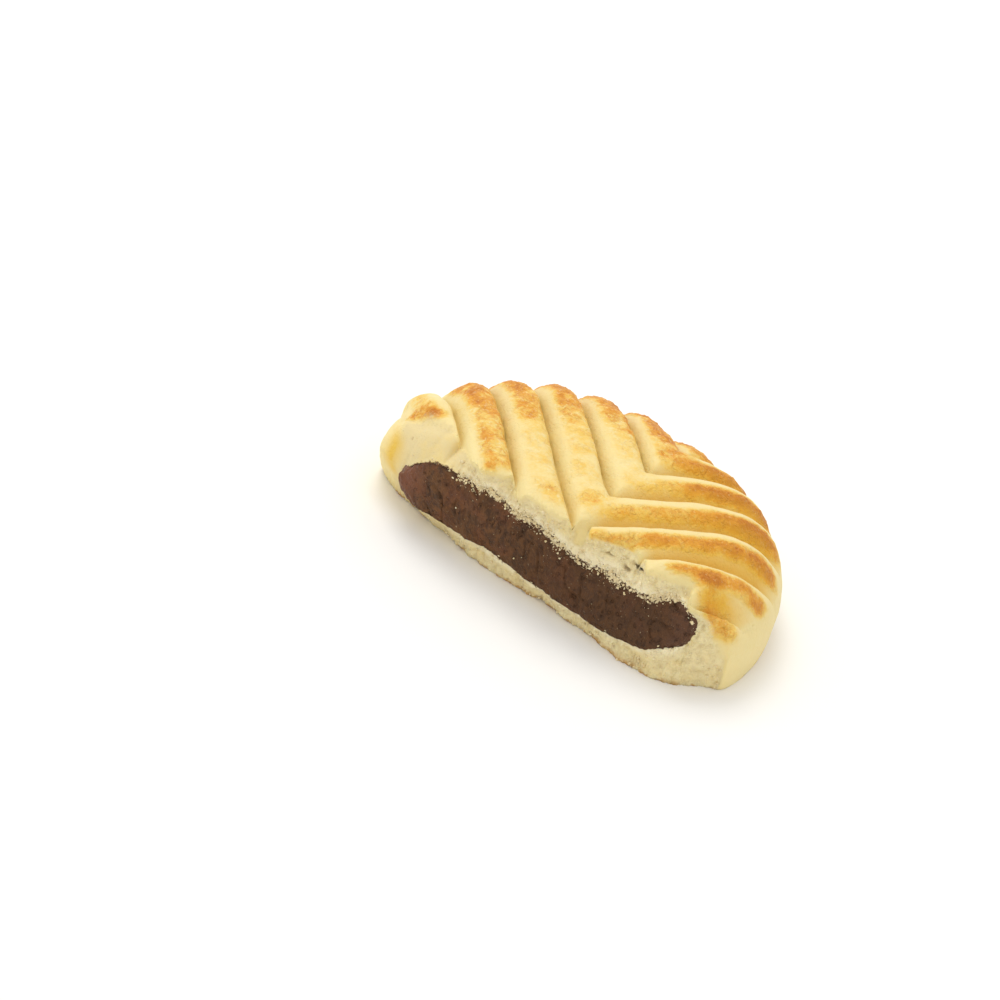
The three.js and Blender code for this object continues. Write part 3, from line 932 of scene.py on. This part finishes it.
# thin crooked lines between the small blisters of the skin
crackle, (place, size, width), setResult = newGroup(
    "crackle", [("Place", "Vector", (0, 0, 0)), ("Size", "Float", 1), ("Width", "Float", 0.1)], "Lines")
bent = crackle.nodes.new("ShaderNodeTexNoise")
setIn(bent, "Vector", place)
setIn(bent, "Scale", 1400)
shift = crackle.nodes.new("ShaderNodeVectorMath")
shift.operation = "MULTIPLY_ADD"
for socket, value in enumerate((bent.outputs["Color"], (0.0007, 0.0007, 0.0007), place)):
    setIn(shift, socket, value)
net = crackle.nodes.new("ShaderNodeTexVoronoi")
net.feature = "DISTANCE_TO_EDGE"
setIn(net, "Vector", shift.outputs[0])
setIn(net, "Scale", scaleFor(size))
broken = between(noiseAt(place, 1.6, 2), 0.42, 0.6)
setResult(times(between(net.outputs["Distance"], 0, width, 1, 0), broken))


def useGroup(group, **values):  # the group in a material, with its own values
    node = addNode("Group", *values.values())
    node.node_tree = group
    for label, value in values.items():
        setIn(node, label.replace("_", " "), value)
    return node.outputs[0]


def patchMask(place, size, low, high):  # patches of one size in millimetres
    return useGroup(patches, Place=place, Size=size, Low=low, High=high)


def reliefOf(place, lumpSize, grainSize, lumpy, grainy, holes):  # lumps and grains, less the holes
    return useGroup(grainRelief, Place=place, Lump_size=lumpSize, Grain_size=grainSize, Lumps=lumpy,
                    Grains=grainy, Holes=holes)


def newMaterial(name, **fixed):  # its tree, its shader with fixed values, and the places on the object
    material = bpy.data.materials.new(name)
    material.use_nodes = True
    tree = material.node_tree
    shader = tree.nodes["Principled BSDF"]
    for label, value in fixed.items():
        shader.inputs[label.replace("_", " ")].default_value = value
    return material, tree, shader, tree.nodes.new("ShaderNodeTexCoord").outputs["Object"]


def attributeOf(tree, name):  # a value that makePiece put on the mesh
    node = tree.nodes.new("ShaderNodeAttribute")
    node.attribute_name = name
    return node.outputs["Fac"]


def bumpOf(shader, height, distance):  # relief too small for the mesh, its height in metres
    node = addNode("Bump", height)
    for label, value in dict(Height=height, Distance=distance, Strength=1).items():
        setIn(node, label, value)
    setIn(shader, "Normal", node.outputs[0])


doughLook = dict(
    pale=(235, 216, 155), golden=(234, 197, 100), amber=(223, 155, 50), brown=(195, 119, 32),
    # the flank colour is golden bake together with painted shade for the flanks facing away from the lamp
    # the groove colour is painted shade for the grooves
    blush=(218, 148, 68), flour=(244, 228, 172), flank=(228, 175, 48), grooveShade=(222, 198, 118),
    under=(196, 146, 80), crumb=(241, 226, 177), crumbDeep=(222, 203, 152), crumbYellow=(232, 208, 140),
    # the crack colour is painted shade in the cracks
    lipCrumb=(252, 241, 208), dateSmear=(96, 66, 44), butter=(228, 186, 60), crackShadeColour=(140, 104, 56),
)


def skinColour(place, look, value, lines, fine):
    # browning broken up by noise, then blush lines, flour, golden flanks with painted shade, painted shade in
    # the grooves and the baked underside
    bake, even = value("bake"), value("even")
    broad = noiseAt(place, 2.2, 3, 0.55, 0.5)
    uneven = calc("MULTIPLY_ADD", minus(broad, 0.5), 1.3, times(minus(fine, 0.5), 1.6))
    uneven = times(uneven, between(bake, 0.03, 0.4, 0.1, 1), between(even, 0, 1, 0.75, 0.5))
    coat = useGroup(bakedColour, Bake=plus(bake, uneven), Pale=look["pale"],
                    Golden=look["golden"], Amber=look["amber"], Brown=look["brown"])
    blush = times(lines, between(bake, 0.1, 0.45, 0, 0.6), between(even, 0, 1, 1, 0.5))
    dusty = times(patchMask(place, 0.45, 0.56, 0.68), between(even, 0, 1, 1, 0.4))
    dusty = times(dusty, between(bake, 0.05, 0.5, 0.15, 0.5))
    return layered(coat, [
        (blush, look["blush"]),
        (dusty, look["flour"]),
        # golden bake and painted shade on the flanks that face away from the lamp
        (times(value("flank"), 0.8), look["flank"]),
        # painted shade in the grooves: a darker olive colour along each groove
        (times(value("groove"), 0.7), look["grooveShade"]),
        (value("under"), blend(patchMask(place, 3, 0.35, 0.7), look["under"], look["golden"])),
        (value("butter"), look["butter"]),
    ])


def tornColour(place, look, value):
    # cream crumb with deeper pits, deep yellow patches, a toasted foot, a whiter lip, painted shade in the
    # cracks and date smears
    calm, stain = value("calm"), value("stain")
    pits = patchMask(place, 1, 0.25, 0.66)
    whiter = times(between(stain, 0.02, 0.35), between(calm, 0, 1, 0.55, 0))
    speck = minus(noiseAt(place, 0.5, 3, 0.7), 0.5)
    return layered(look["crumbDeep"], [
        (between(calm, 0, 1, pits, 0.1), look["crumb"]),
        (times(patchMask(place, 4, 0.45, 0.7), 0.6), look["crumbYellow"]),
        (times(patchMask(place, 1.6, 0.44, 0.58), value("foot")), look["under"]),
        (times(value("butter"), 0.6), look["butter"]),
        (whiter, look["lipCrumb"]),
        # painted shade in the cracks
        (times(value("cavity"), 0.9), look["crackShadeColour"]),
        (between(plus(stain, speck), 0.72, 0.9), look["dateSmear"]),
    ])


def doughMaterial():
    # skin and torn crumb, each with its own colour, shine and fine relief, parted by the ragged crumb mask
    look = {key: paint(*value) for key, value in doughLook.items()}
    material, tree, shader, place = newMaterial(
        "bakedDough", Subsurface_Weight=0.2, Subsurface_Radius=(1, 0.8, 0.45), Subsurface_Scale=0.0012,
        Specular_IOR_Level=0.22, Coat_Roughness=0.4)

    def value(name):
        return attributeOf(tree, name)

    fine = noiseAt(place, 0.7, 5, 0.7, 0.5)
    lines = useGroup(crackle, Place=place, Size=1, Width=0.16)
    coat = skinColour(place, look, value, lines, fine)
    inner = tornColour(place, look, value)
    ragged = times(minus(fine, 0.5), 0.9)
    torn = between(plus(value("crumb"), ragged), 0.25, 0.75)
    setIn(shader, "Base Color", blend(torn, coat, inner))
    setIn(shader, "Roughness", between(torn, 0, 1, 0.58, 0.9))
    setIn(shader, "Coat Weight", between(torn, 0, 1, 0.06, 0))
    skin = minus(reliefOf(place, 0.6, 0.3, 1, 0.3, 0), times(lines, 0.35))
    skin = times(skin, between(value("bake"), 0, 0.4, 0.45, 1.2))
    crumbly = reliefOf(place, 0.9, 0.22, 0.9, 0.5, 0.4)
    crumbly = times(crumbly, between(value("calm"), 0, 1, 1, 0.3))
    height = plus(times(crumbly, torn), times(skin, minus(1, torn)))
    bumpOf(shader, height, 0.0002)
    return material


fillingLook = dict(paste=(108, 72, 40), deep=(71, 45, 23), rusty=(122, 70, 44), seed=(134, 98, 62),
                   flour=(236, 220, 178))


def fillingMaterial():
    # dark paste in streaks, rustier at its two ends, with pale seeds, a darker right half and a dust of flour
    look = {key: paint(*value) for key, value in fillingLook.items()}
    material, tree, shader, place = newMaterial("datePaste", Specular_IOR_Level=0.25, Coat_Roughness=0.25)
    ends, shade = attributeOf(tree, "ends"), attributeOf(tree, "shade")
    stretch = tree.nodes.new("ShaderNodeMapping")
    setIn(stretch, "Vector", place)
    setIn(stretch, "Scale", (1, 1, 0.8))
    streaks = noiseAt(stretch.outputs[0], 1.1, 8, 0.75, 0.8)
    powder = calc("MULTIPLY_ADD", attributeOf(tree, "dust"), 0.45, noiseAt(place, 0.35, 4, 0.7))
    colour = layered(look["deep"], [
        (between(streaks, 0.38, 0.62), look["paste"]),
        (plus(times(patchMask(place, 3.5, 0.42, 0.7), 0.35), times(ends, 0.6)), look["rusty"]),
        (times(patchMask(place, 0.4, 0.68, 0.76), 0.6), look["seed"]),
        (times(shade, 0.55), look["deep"]),
        (between(powder, 0.66, 0.76), look["flour"]),
    ])
    setIn(shader, "Base Color", colour)
    setIn(shader, "Roughness", between(streaks, 0.3, 0.7, 0.42, 0.68))
    setIn(shader, "Coat Weight", times(ends, 0.25))
    bumpOf(shader, reliefOf(stretch.outputs[0], 0.7, 0.3, 1.2, 0.4, 0.8), 0.00025)
    return material


def grainMaterial(name, light, dark, roughness):
    # each grain has its own tone between light and dark, worn a little darker by noise
    material, tree, shader, place = newMaterial(name)
    colour = blend(attributeOf(tree, "tone"), paint(*dark), paint(*light))
    worn = noiseAt(place, 0.3, 2)
    colour = blend(times(worn, 0.3), colour, paint(*dark))
    setIn(shader, "Base Color", colour)
    setIn(shader, "Roughness", between(worn, 0, 1, roughness, roughness + 0.1))
    bumpOf(shader, noiseAt(place, 0.15, 2), 0.00005)
    return material


# pieces
doughPiece, *skin = buildDough(doughMaterial())
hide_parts("dough")
fillingPiece, *paste = buildFilling(fillingMaterial())
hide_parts("filling")
paleGrain = grainMaterial("paleGrain", (242, 230, 194), (222, 202, 154), 0.9)
dateGrain = grainMaterial("dateGrain", (116, 78, 48), (78, 52, 32), 0.6)
buildCrumbs(*skin, *paste, paleGrain, dateGrain)


# plain floor, soft light and camera
stage = dict(
    floorSize=3, floor=(247, 247, 247), floorRoughness=0.9, sky=(255, 253, 250), skyStrength=0.9,
    keyFrom=(-0.26, 0.14, 0.54), keySize=0.35, keyPower=1.45, keyColour=(255, 252, 244),
)


def addStage():
    # a square floor, an even sky and one soft lamp that points at the cookie
    half = stage["floorSize"] / 2
    mesh = bpy.data.meshes.new("floor")
    corners = [(-half, -half, 0), (half, -half, 0), (half, half, 0), (-half, half, 0)]
    mesh.from_pydata(corners, [], [(0, 1, 2, 3)])
    material, _, shader, _ = newMaterial("paleFloor", Roughness=stage["floorRoughness"])
    shader.inputs["Base Color"].default_value = paint(*stage["floor"])
    mesh.materials.append(material)
    floor = newObject("floor", mesh)
    floor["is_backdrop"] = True
    world = bpy.data.worlds.new("softSky")
    world.use_nodes = True
    sky = world.node_tree.nodes["Background"]
    sky.inputs["Color"].default_value = paint(*stage["sky"])
    sky.inputs["Strength"].default_value = stage["skyStrength"]
    bpy.context.scene.world = world
    light = bpy.data.lights.new("key", "AREA")
    light.size, light.energy = stage["keySize"], stage["keyPower"]
    light.color = paint(*stage["keyColour"])[:3]
    key = newObject("key", light)
    key.location = Vector(stage["keyFrom"])
    key.rotation_euler = (-key.location).to_track_quat("-Z", "Y").to_euler()
    bpy.context.scene.view_settings.view_transform = "Standard"


# angles in degrees, lens and sensor in millimetres, place and clipping in metres
view = dict(azimuth=23.755, elevation=30.33, roll=16.54, lens=131.76, sensor=36, nearest=0.01, farthest=10,
            place=(0.15296, -0.37945, 0.24231))


def addCamera():
    # the camera's own axes from its turn round the cookie, its height above the floor and its roll
    a, e, r = np.radians([view["azimuth"], view["elevation"], view["roll"]])
    back = np.array([np.sin(a) * np.cos(e), -np.cos(a) * np.cos(e), np.sin(e)])
    level = np.array([np.cos(a), np.sin(a), 0])
    right = level * np.cos(r) + np.cross(back, level) * np.sin(r)
    matrix = np.eye(4)
    matrix[:3, 0], matrix[:3, 1], matrix[:3, 2] = right, np.cross(back, right), back
    matrix[:3, 3] = view["place"]
    data = bpy.data.cameras.new("camera")
    data.lens, data.sensor_width = view["lens"], view["sensor"]
    data.clip_start, data.clip_end = view["nearest"], view["farthest"]
    camera = newObject("camera", data)
    camera.matrix_world = Matrix(matrix.tolist())
    bpy.context.scene.camera = camera


addStage()
addCamera()
bpy.context.view_layer.update()
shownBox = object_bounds()
boxes = {"cad": cadBox, "shown": shownBox}
{key: [list(corner) for corner in pair] for key, pair in boxes.items()}
